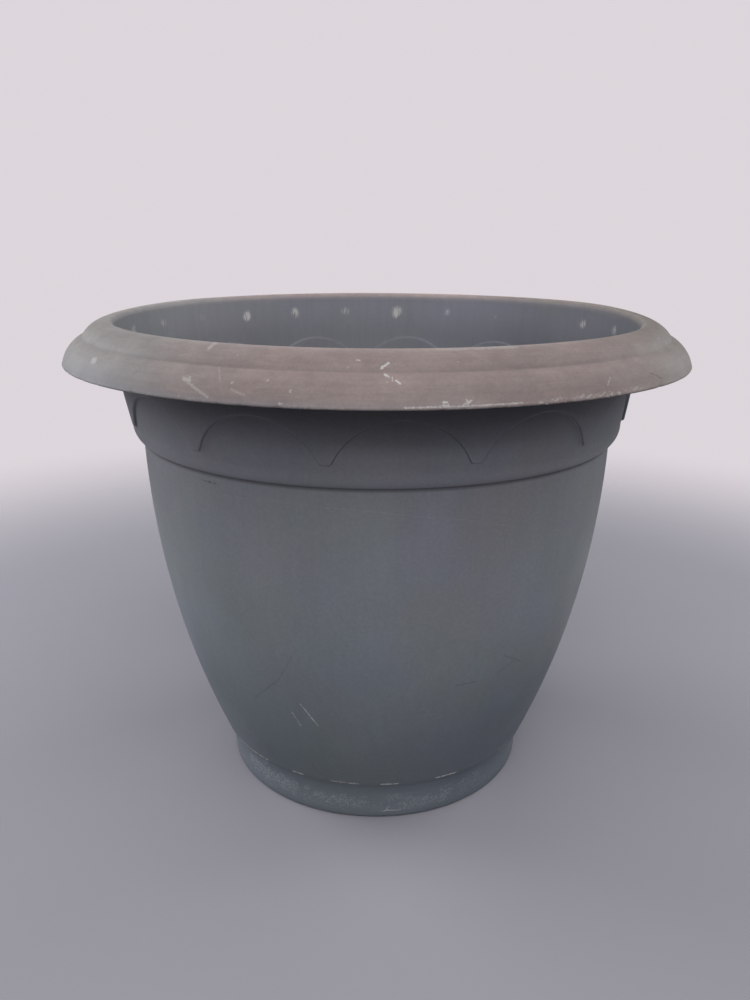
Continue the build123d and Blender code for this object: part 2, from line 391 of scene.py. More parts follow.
class Rings:
    """Rings of the shell's section, from the floor's underside, over the rim, to the floor's top."""

    def __init__(self, columns):
        self.columns = columns
        self.rows = []

    # A darkening value marks folds, hollows, corners and edges, where dirt and painted shade lie.
    def add(self, r, z, wear=0.0, grime=0.0, rim=0.0, inside=0.0):
        """One ring. Each value is one number, or one for each column."""
        values = (r, z, wear, grime, rim, inside)
        self.rows.append(np.stack([np.broadcast_to(v, self.columns) for v in values]))

    def path(self, points, **marks):
        for r, z in points:
            self.add(r, z, **marks)

    def between(self, start, end, shares, face, **marks):
        """Rings on a face, at some shares of the way from one height or wavy line to another."""
        for t in shares:
            z = start + (end - start) * t
            self.add(face(z), z, **marks)


def add_belly(rings):
    """Underside of the floor, the ring that locates in the tray, the rounded heel and the belly."""
    inner, soft = SPIGOT - WALL, 0.6
    # Dirt and painted shade darken the floor's underside and the spigot.
    rings.path([
        (inner - 8, SEAM), (inner - soft, SEAM), (inner, SEAM - soft),
        (inner, SPIGOT_LOW + soft), (inner + soft, SPIGOT_LOW),
        (SPIGOT - soft, SPIGOT_LOW), (SPIGOT, SPIGOT_LOW + soft), (SPIGOT, SEAM - soft),
        (SPIGOT + soft, SEAM),
    ], grime=0.6)
    radius = 3.0
    centre = (belly_r(SEAM + radius) - radius, SEAM + radius)
    # Dirt and painted shade darken the heel, where it overhangs the tray.
    rings.add(centre[0] - 1.5, SEAM, grime=0.6)
    heel = arc(centre, radius, (centre[0], SEAM), (centre[0] + radius, centre[1]), 7)
    rings.path(heel, grime=0.3)
    rings.path([(belly_r(z), z) for z in np.linspace(SEAM + radius + 3, WAIST - 3, 34)])


def add_collar(rings, local):
    """Fold above the belly, darkened by dirt and painted shade, plain band, scalloped edge, and drape
    up to under the rim.
    """
    fold = (belly_r(WAIST), WAIST)
    rings.add(belly_r(WAIST - 1.6), WAIST - 1.6, grime=0.6)
    rings.add(*fold, grime=1.0)
    bulge = arc_through(fold, COLLAR_BULGE, COLLAR_FACE, 13)
    rings.add(*bulge[1], grime=0.8)
    rings.path(bulge[2:])
    low = scallop(local, BELOW_EDGE, *OUTER_ARCHES)
    rings.between(COLLAR_FACE[1], low, np.linspace(0.12, 0.94, 10), arch_face_r)
    # Painted shade darkens the edge's upright stretches, and hardly its crown.
    upright = 0.25 + 0.6 * np.clip(np.abs(local) / (0.4 * SECTOR), 0, 1) ** 1.5
    for outset, share in EDGE_STEPS:
        z = scallop(local, outset, *OUTER_ARCHES)
        rings.add(arch_face_r(z) + RELIEF * share, z, grime=upright * (0.05 < share < 0.6))
    high = scallop(local, ABOVE_EDGE, *OUTER_ARCHES)
    rings.between(high, COLLAR_TOP, np.linspace(0.08, 1, 9), drape_r)


def add_rim(rings):
    """Hollow under the rim, the lip with its two rounded edges, and the rim's outer face."""
    hollow_r = INNER_RIM + WALL
    turn_end = (TURN_CENTRE[0], TOP - WALL)
    # The hollow under the rim and the rim's underside are darkened by dirt and painted shade.
    rings.path([(hollow_r - 0.6, 441.0), (hollow_r, HOLLOW_TOP), (hollow_r, 455.0)], grime=0.5)
    under_turn = arc(TURN_CENTRE, TURN_RADIUS - WALL, (hollow_r, TURN_CENTRE[1]), turn_end, 6)
    rings.path(under_turn, grime=0.5)
    under_roll = arc(ROLL_CENTRE, ROLL_RADIUS - WALL, turn_end, rim_crease(WALL), 12)
    rings.path(under_roll[1:], grime=0.4)
    under_flange = arc(FLANGE_CENTRE, FLANGE_RADIUS - WALL, rim_crease(WALL), (LIP_INNER, LIP), 10)
    rings.path(under_flange[1:-1], grime=0.3)
    edge, bevel = 0.9, 0.27
    # The lip's rounded edges are worn pale, and their wear mark also paints shade along the lip's
    # lower edge.
    rings.path([
        (LIP_INNER, LIP + edge), (LIP_INNER + bevel, LIP + bevel), (LIP_INNER + edge, LIP),
        (RIM_RADIUS - edge, LIP), (RIM_RADIUS - bevel, LIP + bevel), (RIM_RADIUS, LIP + edge),
    ], wear=1.0, rim=1.0)
    flange = arc(FLANGE_CENTRE, FLANGE_RADIUS, (RIM_RADIUS, LIP), rim_crease(0), 17)
    for i, point in enumerate(flange[1:-1]):
        rings.add(*point, wear=max(0.0, 0.7 - 0.35 * i), rim=1.0)
    # Dirt and painted shade darken the crease between flange and roll.
    rings.add(*flange[-1], rim=1.0, grime=0.25)
    roll = arc(ROLL_CENTRE, ROLL_RADIUS, rim_crease(0), (TURN_CENTRE[0], TOP), 22)
    rings.add(*roll[1], rim=1.0, grime=0.1)
    rings.path(roll[2:], rim=1.0)
    turn = arc(TURN_CENTRE, TURN_RADIUS, (TURN_CENTRE[0], TOP), (INNER_RIM, TURN_CENTRE[1]), 9)
    for i, point in enumerate(turn[1:]):
        rings.add(*point, rim=1.0, inside=max(0.0, i / 7 - 0.3))


def add_inner_wall(rings, local):
    """Inner wall with the same arches seen from behind, down to the floor's top."""
    marks = dict(rim=1.0, inside=1.0)
    high = scallop(local, ABOVE_EDGE, *INNER_ARCHES)
    rings.between(TURN_CENTRE[1], high, np.linspace(0.06, 0.96, 18), inner_face_r, **marks)
    # Along the arches' edges, the wear mark paints a dark line of shade and a thin highlight.
    for outset, share in reversed(EDGE_STEPS):
        z = scallop(local, outset, *INNER_ARCHES)
        rings.add(arch_face_r(z) - WALL + RELIEF * share, z, wear=float(0.05 < share < 0.5), **marks)
    low = scallop(local, BELOW_EDGE, *INNER_ARCHES)
    rings.between(
        low, COLLAR_FACE[1], np.linspace(0.12, 1, 8), lambda z: arch_face_r(z) - WALL, **marks
    )
    fold_z = WAIST + WALL
    start = (COLLAR_FACE[0] - WALL, COLLAR_FACE[1])
    middle = (COLLAR_BULGE[0] - WALL, COLLAR_BULGE[1] + WALL)
    rings.path(arc_through(start, middle, (belly_r(fold_z, WALL), fold_z), 9)[1:], **marks)
    for z in np.linspace(fold_z - 3, SEAM + 2 * WALL, 26):
        rings.add(belly_r(z, WALL), z, **marks)
    floor_z = SEAM + WALL
    corner = (belly_r(floor_z + WALL, WALL), floor_z + WALL)
    centre = (corner[0] - WALL, corner[1])
    # Dirt and painted shade darken the corner at the floor.
    rings.path(arc(centre, WALL, corner, (centre[0], floor_z), 6)[1:], grime=0.5, **marks)
    rings.add(SPIGOT - WALL - 8, floor_z, **marks)


def gusset_angles():
    return FRONT + GUSSET_PHASE + np.arange(GUSSETS) * FULL / GUSSETS


def drain_angle(i):
    return DRAIN_PHASE + i * FULL / DRAINS


def turn_between(a, b):
    """Angle from one direction to another, from half a turn back to half a turn on."""
    return (a - b + pi) % FULL - pi


def ripple(angles, heights, seed, waves, amount):
    """A slow, random unevenness round and up the wall."""
    draw = np.random.default_rng(seed)
    total = np.zeros(angles.shape)
    for turns in range(2, 2 + waves):
        phase, tilt, size = draw.uniform(0, FULL), draw.uniform(-0.02, 0.02), draw.normal()
        total += size / sqrt(turns) * np.sin(turns * angles + phase + tilt * heights)
    return amount * total


def droop(around, z):
    """How far the sunk rim lies below its moulded height, in each direction from the axis."""
    apart = np.degrees(np.abs(turn_between(around, radians(DROOP_MIDDLE))))
    share = np.clip((DROOP_NONE - apart) / (DROOP_NONE - DROOP_FULL), 0, 1)
    height = np.clip((z - DROOP_FOOT) / (TOP - DROOP_FOOT), 0, 1)
    return DROOP * share**2 * (3 - 2 * share) * height**DROOP_CURVE


def knock_lip(r, z, around, draw):
    """Presses small knocks into the radii and heights along the lip."""
    lip = np.clip(1 - np.abs(z - LIP) / 4, 0, 1) * (r > COLLAR_FACE[0])
    for _ in range(KNOCKS):
        where, width = draw.uniform(0, FULL), draw.uniform(0.004, 0.014)
        depth = draw.uniform(0.1, 0.6)
        dent = lip * depth * np.exp(-((turn_between(around, where) / width) ** 2))
        r -= dent
        z += 0.5 * dent


def pulled_white(around, z, draw):
    """How far the inner wall has whitened where the gussets pull at it."""
    total = np.zeros_like(z)
    for where, strength in zip(gusset_angles(), STRESS):
        apart = turn_between(around, where) * INNER_RIM
        wide, tall, middle = draw.uniform(4.0, 6.0), draw.uniform(4.2, 6.0), draw.uniform(440.5, 443)
        total += strength * np.exp(-((apart / wide) ** 2) - ((z - middle) / tall) ** 2)
    return total


def fill_floor(shell, columns):
    """Fills in the pot's floor, with its drain holes, between the shell's first and last rings."""
    bm = bmesh.new()
    bm.from_mesh(shell.data)
    outlines = (list(bm.verts)[:columns], list(bm.verts)[-columns:])
    plates = []
    for outline, height in zip(outlines, (SEAM, SEAM + WALL)):
        holes = [
            new_ring(bm, circle_loop(*polar(DRAIN_CIRCLE, drain_angle(i)), DRAIN_HOLE, 48), height)
            for i in range(DRAINS)
        ]
        fill_plate(bm, [outline] + holes)
        plates.append(holes)
    for lower, upper in zip(*plates):
        bridge(bm, lower, upper)
    bm.to_mesh(shell.data)
    bm.free()


def build_shell():
    local = np.tile(sector_angles(), ARCHES)
    columns = len(local)
    middles = np.repeat(np.arange(ARCHES) * SECTOR + FRONT, columns // ARCHES)
    rings = Rings(columns)
    add_belly(rings)
    add_collar(rings, local)
    add_rim(rings)
    add_inner_wall(rings, local)
    r, z, wear, grime, rim, inside = np.stack(rings.rows, axis=1)
    around = np.broadcast_to(middles + local, r.shape)
    # A moulded pot is never quite round or level: the free rim wanders most.
    r += ripple(around, z, 5, 7, OUT_OF_ROUND) * np.clip((z - SEAM) / (TOP - SEAM), 0, 1)
    free = np.clip((z - COLLAR_TOP) / (TOP - COLLAR_TOP), 0, 1)
    z += ripple(around, 0 * z, 11, 4, OUT_OF_LEVEL) * free
    z -= droop(around, z)
    draw = np.random.default_rng(21)
    knock_lip(r, z, around, draw)
    stress = pulled_white(around, z, draw) * (inside > 0.5)
    points = np.stack([r * np.cos(around), r * np.sin(around), z], axis=2)
    shell = new_object("pot_shell_moulding", points.reshape(-1, 3) * MM, lathe_faces(len(r), columns))
    marks = {"wear": wear, "grime": grime, "rim": rim, "inside": inside, "stress": stress}
    for name, values in marks.items():
        paint(shell, name, values)
    fill_floor(shell, columns)
    finish_mesh(shell)
    return shell


def build_gussets():
    """Thin plates under the rim, each let a little way into the wall that it meets."""
    skin = WALL - 0.5
    tip_r = RIM_RADIUS - 7
    flange_r = FLANGE_RADIUS - skin
    tip = (tip_r, FLANGE_LOW + sqrt(flange_r**2 - (tip_r - FLANGE_CENTRE[0]) ** 2))
    roll_top = (TURN_CENTRE[0], TOP - skin)
    outline = arc(ROLL_CENTRE, ROLL_RADIUS - skin, roll_top, rim_crease(skin), 9)
    outline += arc(FLANGE_CENTRE, flange_r, rim_crease(skin), tip, 6)[1:]
    outline += [(INNER_RIM + skin, COLLAR_TOP + 4), (INNER_RIM + skin, TURN_CENTRE[1])]
    half = GUSSET_THICKNESS / 2
    parts = []
    for angle in gusset_angles():
        bm = bmesh.new()
        front = [bm.verts.new((r, -half, z)) for r, z in outline]
        back = [bm.verts.new((r, half, z)) for r, z in outline]
        bm.faces.new(front)
        bm.faces.new(back[::-1])
        bridge(bm, front, back)
        lower = []
        for edge in bm.edges:
            low, high = sorted(v.co.z for v in edge.verts)
            if high - low < 12 and low < COLLAR_TOP + 8:
                lower.append(edge)
        bmesh.ops.bevel(bm, geom=lower, offset=0.5, segments=2, affect="EDGES", profile=0.5)
        vertices, faces = taken_from(bm, angle)
        vertices[:, 2] -= droop(angle, vertices[:, 2] / MM) * MM
        parts.append((vertices, faces))
    return moulded("rim_gussets", parts)


# ---- base tray
def build_tray():
    slope, edge, soft = 3.0, 3.0, 0.7
    lower, upper = (TRAY_LOW_RADIUS, edge), (TRAY_TOP_RADIUS, TRAY_TOP)
    inner_lower, inner_upper = (lower[0] - WALL, lower[1]), (upper[0] - WALL, upper[1])
    inner_foot = (inner_lower[0], edge + WALL)
    floor_top = TRAY_RECESS + WALL
    section = [
        # Underside, foot, and the flared wall's outer face.
        (0, TRAY_RECESS), (20, TRAY_RECESS), (FOOT_INNER - slope - 1, TRAY_RECESS),
        (FOOT_INNER - slope, TRAY_RECESS - 0.3), (FOOT_INNER - 0.4, 0.3), (FOOT_INNER + 0.4, 0),
        (FOOT - 0.5, 0), *arc_through((FOOT, 0), (FOOT + 2.1, 0.9), lower, 8),
        *line(lower, upper, np.linspace(0.08, 0.94, 12)),
        # Rounded top edge, inner face and floor.
        (upper[0], TRAY_TOP - soft), (upper[0] - soft * 0.3, TRAY_TOP - soft * 0.3),
        (upper[0] - soft, TRAY_TOP), (inner_upper[0] + soft, TRAY_TOP),
        (inner_upper[0], TRAY_TOP - soft),
        *line(inner_lower, inner_upper, np.linspace(0.9, 0.1, 6)),
        *arc_through(inner_foot, (FOOT - 1, WALL + 0.9), (FOOT - WALL, WALL), 5),
        (FOOT_INNER + slope, WALL), (FOOT_INNER, floor_top), (20, floor_top), (0, floor_top),
    ]
    parts = [turned(section, 360)]
    # Ribs that carry the pot: two rings and eight spokes.
    thickness, round_off = 2.4, 0.5
    low, high = floor_top - 0.4, TRAY_TOP
    inner_ring, outer_ring, spokes = 40.0, 120.0, 8
    for radius in (inner_ring, outer_ring):
        inside = radius - thickness
        parts.append(tube([
            (radius, low), (radius, high - round_off), (radius - round_off, high),
            (inside + round_off, high), (inside, high - round_off), (inside, low),
        ], 180))
    start = (inner_ring - thickness / 2, -thickness / 2, low)
    end = (SPIGOT - WALL - 1.5, thickness / 2, high)
    for i in range(spokes):
        parts.append(rounded_block(start, end, i * FULL / spokes, round_off))
    tray = moulded("base_tray_moulding", parts)
    # Only the outer top edge is rubbed.
    places = np.array([v.co[:] for v in tray.data.vertices]) / MM
    outer = np.hypot(places[:, 0], places[:, 1]) > TRAY_LOW_RADIUS - WALL + 1
    paint(tray, "wear", np.exp(-(((places[:, 2] - TRAY_TOP) / 1.5) ** 2)) * outer)
    return tray


# ---- soil grid
LEG_CIRCLE = 120.0
LEGS = 6
LEG_TOP = 16.0
LEG_FOOT = 12.0
LEG_WALL = 2.0
SLOT_LENGTH = 20
SLOT_WIDTH = 4
# Rings of slots: distance from the axis, and how many.
SLOT_RINGS = ((56, 12), (86, 20), (154, 36))
FINGER_HOLE = 12
FINGER_HOLE_PLACES = (-26, 26)


def leg_place(i):
    return polar(LEG_CIRCLE, i * FULL / LEGS)


def grid_holes(grow):
    """Outlines of the grid's holes: slots, three more slots between legs, finger holes and legs."""
    slots = [(r, i * FULL / count) for r, count in SLOT_RINGS for i in range(count)]
    for turn in (20, 30, 40):
        slots += [(LEG_CIRCLE, radians(turn + 60 * i)) for i in range(LEGS)]
    loops = [slot_loop(r, angle, SLOT_LENGTH, SLOT_WIDTH, grow) for r, angle in slots]
    loops += [circle_loop(x, 0, FINGER_HOLE + grow, 48) for x in FINGER_HOLE_PLACES]
    loops += [circle_loop(*leg_place(i), LEG_TOP - LEG_WALL + grow, 48) for i in range(LEGS)]
    return loops


def build_grid():
    skirt, soft, columns = 8.0, 0.5, 240
    low, high = GRID_TOP - 3.0, GRID_TOP
    outer = circle_loop(0, 0, GRID_RADIUS, columns)
    shoulder = circle_loop(0, 0, GRID_RADIUS - soft, columns)
    skirt_inner = circle_loop(0, 0, GRID_RADIUS - LEG_WALL, columns)
    bm = bmesh.new()
    top = [new_ring(bm, loop, high) for loop in [shoulder] + grid_holes(soft)]
    fill_plate(bm, top)
    bottom = [new_ring(bm, loop, low) for loop in [skirt_inner] + grid_holes(soft)]
    fill_plate(bm, bottom)
    outline = [
        top[0], new_ring(bm, outer, high - soft), new_ring(bm, outer, high - skirt),
        new_ring(bm, skirt_inner, high - skirt), bottom[0],
    ]
    for upper, lower in zip(outline, outline[1:]):
        bridge(bm, lower, upper)
    for upper, lower, points in zip(top[1:], bottom[1:], grid_holes(0)):
        wall = [upper, new_ring(bm, points, high - soft), new_ring(bm, points, low + soft), lower]
        for above, below in zip(wall, wall[1:]):
            bridge(bm, above, below)
    parts = [taken_from(bm, scale=1.0)]
    # Hollow legs that taper to a closed foot.
    leg_high = low + 0.4
    inner_top = (LEG_TOP - LEG_WALL, leg_high)
    cup = [
        (0, LEG_LOW), (LEG_FOOT - 0.8, LEG_LOW), (LEG_FOOT, LEG_LOW + 0.8),
        *line((LEG_FOOT, LEG_LOW), (LEG_TOP, leg_high), (0.15, 0.5, 1)),
        *line((LEG_FOOT - LEG_WALL, LEG_LOW), inner_top, (1, 0.5, 0.15, 0.05)),
        (0, LEG_LOW + LEG_WALL),
    ]
    parts += [turned(cup, 48, leg_place(i)) for i in range(LEGS)]
    return moulded("soil_grid_moulding", parts)


# ---- drain plugs
def build_plug(i):
    """A plug: a flat head under the floor, a stem in its drain hole and a grip below."""
    seat = SEAM - 0.2
    head, stem, soft, corner = 13.0, DRAIN_HOLE - 0.2, 1.5, 0.8
    head_low = seat - 2.5
    angle = drain_angle(i)
    corner_centre = (head - corner, head_low + corner)
    stem_centre = (stem - soft, PLUG_TOP - soft)
    section = [
        (0, head_low), (head - 3, head_low),
        *arc(corner_centre, corner, (corner_centre[0], head_low), (head, corner_centre[1]), 4),
        (head, seat - 0.4), (head - 0.4, seat), (stem + 0.5, seat), (stem, seat + 0.3),
        *arc(stem_centre, soft, (stem, stem_centre[1]), (stem_centre[0], PLUG_TOP), 5),
        (4, PLUG_TOP), (3, PLUG_TOP - 0.8), (0, PLUG_TOP - 0.8),
    ]
    grip_low, grip_high = (DRAIN_CIRCLE - 8, -1.2, PLUG_LOW), (DRAIN_CIRCLE + 8, 1.2, head_low + 0.3)
    body = turned(section, 64, polar(DRAIN_CIRCLE, angle))
    grip = rounded_block(grip_low, grip_high, angle, 0.5)
    return moulded(f"drain_plug_{i + 1}_moulding", [body, grip])


# ---- materials
ZERO = (0, 0, 0)


class Shader:
    """Short names for the nodes of a material, or of the world."""

    def __init__(self, name, kind=bpy.data.materials):
        self.owner = kind.new(name)
        self.owner.use_nodes = True
        self.tree = self.owner.node_tree
        self.tree.nodes.clear()
        self.place = self.node("TexCoord").outputs["Object"]
        self.x, self.y, self.z = self.node("SeparateXYZ", {0: self.place}).outputs

    def node(self, kind, inputs=(), **settings):
        """A new node with its settings, and values or links in the sockets that are given."""
        made = self.tree.nodes.new("ShaderNode" + kind)
        for name, value in settings.items():
            setattr(made, name, value)
        for socket, value in dict(inputs).items():
            self.put(made.inputs[socket], value)
        return made

    def put(self, socket, value):
        if isinstance(value, bpy.types.NodeSocket):
            self.tree.links.new(value, socket)
        elif value is not None:
            socket.default_value = (*value, 1) if socket.type == "RGBA" else value

    def math(self, kind, a, b=None):
        return self.node("Math", {0: a, 1: b}, operation=kind).outputs[0]

    def chain(self, kind, values):
        """One value from several, taken in one after another."""
        total = values[0]
        for value in values[1:]:
            total = self.math(kind, total, value)
        return total

    def times(self, *values):
        return self.chain("MULTIPLY", values)

    def plus(self, *values):
        return self.chain("ADD", values)

    def most(self, *values):
        return self.chain("MAXIMUM", values)

    def span(self, value, low, high, start=0.0, end=1.0):
        """Maps low..high smoothly to start..end."""
        sockets = dict(enumerate((value, low, high, start, end)))
        made = self.node("MapRange", sockets, interpolation_type="SMOOTHSTEP", clamp=False)
        return made.outputs[0]

    def mark(self, name):
        """A number painted on the mesh."""
        return self.node("Attribute", attribute_name=name).outputs["Fac"]

    def radius(self):
        """Distance from the pot's axis."""
        return self.math("SQRT", self.plus(self.times(self.x, self.x), self.times(self.y, self.y)))

    def facing_front(self):
        """1 at the front, 0 at the sides and -1 at the back."""
        return self.math("DIVIDE", self.times(self.y, -1.0), self.radius())

    def facing_up(self):
        """1 where the surface faces straight up."""
        normal = self.node("NewGeometry").outputs["Normal"]
        return self.node("SeparateXYZ", {0: normal}).outputs["Z"]

    def turn_from_front(self):
        """Angle from the front, in radians, positive towards +X."""
        return self.math("ARCTAN2", self.x, self.times(self.y, -1.0))

    def unrolled(self):
        """The wall laid flat: distance round from the front, and height."""
        around = self.times(self.turn_from_front(), self.radius())
        return self.node("CombineXYZ", {0: around, 1: self.z}).outputs[0]

    def vector(self, kind, a, b=None):
        made = self.node("VectorMath", {0: a, 1: b}, operation=kind)
        return made.outputs["Value" if kind in ("DOT_PRODUCT", "LENGTH") else "Vector"]

    def scaled(self, colour, *amounts):
        """A colour, or a vector, times one or more numbers."""
        sockets = {0: colour, "Scale": self.times(*amounts)}
        return self.node("VectorMath", sockets, operation="SCALE").outputs[0]

    def segment_distance(self, place, start, end):
        """Distance from a place to a straight line between two points."""
        run = [e - b for b, e in zip(start, end)]
        size = sum(v * v for v in run)
        from_start = self.vector("SUBTRACT", place, start)
        share = self.vector("DOT_PRODUCT", from_start, [v / size for v in run])
        share = self.math("MINIMUM", self.most(share, 0.0), 1.0)
        return self.vector("LENGTH", self.vector("SUBTRACT", from_start, self.scaled(run, share)))

    def noise(self, scale, detail=3, rough=0.55, stretch=(1, 1, 1), turn=ZERO, shift=ZERO, warp=0):
        """Noise in the object's frame, which is first stretched, turned (in degrees) and shifted."""
        sockets = {"Scale": stretch, "Rotation": [radians(a) for a in turn], "Location": shift}
        place = self.node("Mapping", {"Vector": self.place, **sockets}).outputs[0]
        sockets = {"Scale": scale, "Detail": detail, "Roughness": rough, "Distortion": warp}
        return self.node("TexNoise", {"Vector": place, **sockets}).outputs["Fac"]

    def mix(self, share, a, b, kind="MIX"):
        """Turns one colour into another by a share, or multiplies it."""
        settings = dict(data_type="RGBA", blend_type=kind, clamp_factor=True)
        return self.node("Mix", {0: share, 6: a, 7: b}, **settings).outputs[2]

    def plastic(self, colour, rough, bump, bump_height, specular=0.5):
        """Surface of a plastic with fine relief."""
        sockets = {"Strength": 1.0, "Distance": bump_height, "Height": bump}
        sockets = {
            "Base Color": colour, "Roughness": rough, "Specular IOR Level": specular,
            "Normal": self.node("Bump", sockets).outputs[0],
        }
        return self.node("BsdfPrincipled", sockets).outputs[0]

    def blend(self, share, a, b):
        """Turns one surface into another by a share."""
        return self.node("MixShader", {0: share, 1: a, 2: b}).outputs[0]

    def finished(self, surface, output="OutputMaterial"):
        """The material, or the world, with its surface."""
        self.node(output, {"Surface": surface})
        return self.owner


# Marks on the pot: (angle from the front in degrees, height) at both ends, width in mm, strength.
# Here and in the tables below, the places of the front's marks come from points picked in the
# photo. A helper program turned those into angles and heights, which were rounded and adjusted.
RIM_MARKS = (
    (-32.5, 438.5, -28, 428.5, 2.6, 0.35), (-32.5, 438.5, -31.5, 438, 3.4, 0.5),
    (-27.5, 446, -26.5, 439, 1.8, 0.2), (-24.5, 434.5, -22.5, 431.5, 1.6, 0.25),
    (-31, 457, -30.5, 460.5, 2.4, 0.4), (-55.5, 440, -54.5, 440.5, 5.0, 0.6),
    (-17.5, 427.5, -17, 427.5, 1.6, 0.6), (-7.5, 454, -7, 454, 1.0, 0.8),
    (-4, 449.5, -3, 452.5, 2.0, 1.0), (-3.5, 446, -3, 445, 1.6, 1.0),
    (-2.5, 442.5, -2.5, 444.5, 1.2, 0.9), (-2, 442.5, -1.5, 441, 1.6, 1.0),
    (30, 433, 31, 437.5, 1.4, 0.4), (4.5, 459.5, 17.5, 459.5, 1.0, 0.3),
    (-1, 426.5, 15, 427, 1.3, 0.7),
)
# Where plastic is torn up at the lip, and between which angles the lip is frayed.
TANGLES = (4.3, 7.2)
TANGLE_STROKES = 7
FRAYED = (16, 38)
FRAYED_STROKES = 16
BELLY_MARKS = (
    (-24, 142.5, -20, 119.5, 0.9, 0.9), (-23, 137, -21, 125, 1.2, 0.9),
    (-27, 130, -25, 115.5, 0.9, 0.6), (-26, 119.5, -25, 113, 0.8, 0.4),
    (-51.5, 331.5, -25, 337, 0.8, 0.08), (-25, 337, -6, 334, 0.8, 0.1),
    (-6, 334, 13.5, 323, 0.8, 0.1), (13.5, 323, 39.5, 296, 0.8, 0.08),
)
SCUFFS = (
    (-24, 196, -29, 165.5, 1.8, 0.25), (-29, 165.5, -38.5, 134, 1.8, 0.3),
    (15.5, 164, 21, 163.5, 2.0, 0.35), (27.5, 166, 32, 175, 1.8, 0.3),
    (28, 184.5, 35, 170, 1.8, 0.3), (-43.5, 343.5, -39, 343, 1.4, 0.6),
    (41, 436, 44, 430.5, 1.4, 0.5),
)
# Where the heel has rubbed white against the tray: from angle, to angle, strength.
HEEL_RUB_Z = SEAM + 4.2
HEEL_RUB_WIDTH = 1.8
HEEL_RUBS = (
    (-66, -44, 1.0), (-33, -29, 0.8), (-19.5, -10, 0.5), (-2.5, 3, 0.8),
    (16, 24, 1.0), (44, 51, 0.5), (75, 96, 0.7), (128, 141, 0.9), (-168, -151, 0.8),
    (-120, -104, 0.6),
)
# Dried splashes on the tray, as wide soft marks, and one chip at its foot.
DUST = (
    (-57, 20, -36, 19, 20, 1.0), (-30, 18, -9, 17, 11, 0.9), (1, 22, 9, 20, 10, 0.6),
    (6, 13, 22, 15, 18, 0.9), (22, 17, 36, 23, 14, 0.5), (62, 18, 75, 20, 14, 0.6),
    (110, 15, 138, 19, 15, 0.8), (-150, 16, -128, 22, 15, 0.7), (-95, 18, -84, 15, 12, 0.6),
)
CHIP = ((-1.5, 7, 0, 9, 1.4, 1.0), (0, 8, 4.5, 7.5, 1.1, 0.9), (-0.5, 10, 0.5, 13, 0.9, 0.5))


def outer_r(z):
    """Radius of the outer face at a height on the tray, the belly or the rim."""
    if z < SEAM:
        return TRAY_TOP_RADIUS
    if z < WAIST:
        return belly_r(z)
    if z < rim_crease(0)[1]:
        return FLANGE_CENTRE[0] + sqrt(FLANGE_RADIUS**2 - (z - FLANGE_LOW) ** 2)
    return ROLL_CENTRE[0] + sqrt(ROLL_RADIUS**2 - (z - ROLL_CENTRE[1]) ** 2)


def unrolled(angle, z):
    """A point of the wall as (distance round, height), in metres."""
    return (radians(angle) * outer_r(z) * MM, z * MM, 0)


def lip_marks():
    """Tangles of torn plastic on the lip, and short leaning strokes where it is frayed."""
    draw = np.random.default_rng(33)
    marks = []
    for middle in TANGLES:
        for _ in range(TANGLE_STROKES):
            start, low = middle + draw.uniform(-0.9, 0.6), draw.uniform(427.4, 430.2)
            turn, rise = draw.uniform(-0.5, 0.8), draw.uniform(-0.6, 1.5)
            marks.append((start, low, start + turn, low + rise, draw.uniform(0.8, 1.4), 0.95))
    for _ in range(FRAYED_STROKES):
        start, low = draw.uniform(*FRAYED), draw.uniform(426.3, 427.6)
        rise = draw.uniform(0.5, 2.4)
        width, strength = draw.uniform(0.8, 1.3), draw.uniform(0.25, 0.6)
        marks.append((start, low, start + 0.5 * rise, low + rise, width, strength))
    return tuple(marks)


def strokes(s, marks, rough_edge):
    """Mask of straight marks on the unrolled wall, with uneven edges."""
    place = s.unrolled()
    lines = []
    for angle_a, z_a, angle_b, z_b, width, strength in marks:
        away = s.segment_distance(place, unrolled(angle_a, z_a), unrolled(angle_b, z_b))
        away = s.plus(away, rough_edge)
        lines.append(s.span(away, 0.2 * width * MM, 0.62 * width * MM, strength, 0.0))
    return s.most(*lines)


# Linear colours. The belly's faded plastic drifts between the first four.
BLUE_GREY = (0.190, 0.204, 0.238)
GREEN_GREY = (0.188, 0.210, 0.222)
VIOLET_GREY = (0.202, 0.200, 0.234)
OLIVE_GREY = (0.196, 0.206, 0.206)
RIM_WARM = (0.285, 0.226, 0.219)
RIM_COOL = (0.251, 0.233, 0.233)
RIM_OLIVE = (0.200, 0.173, 0.162)
LIP_GREY = (0.182, 0.178, 0.195)
LEFT_LIP_GREY = (0.192, 0.189, 0.216)
INNER_BLUE = (0.205, 0.208, 0.250)
INNER_GREEN = (0.205, 0.212, 0.236)
TRAY_BLUE = (0.165, 0.190, 0.238)
TRAY_FILM = (0.24, 0.28, 0.31)
TRAY_LINES = (0.4, 0.44, 0.46)
TRAY_DUST = (0.52, 0.55, 0.61)
CHALK = (0.62, 0.60, 0.60)
# Dark colour for dirt and scuffs, also used as painted shade in folds, hollows, corners and along
# edges.
DIRT_AND_SHADE = (0.040, 0.040, 0.043)
FINE_RELIEF = 0.0004
# Patches of other casts: colour, noise scale, squeeze upward, shift, low, high, strength.
CASTS = (
    (GREEN_GREY, 9, 0.7, (3, 1, 2), 0.42, 0.6, 1.0),
    (VIOLET_GREY, 11, 0.7, (8, 5, 1), 0.47, 0.62, 0.5),
    (OLIVE_GREY, 8, 0.6, (1, 9, 6), 0.5, 0.64, 0.6),
)


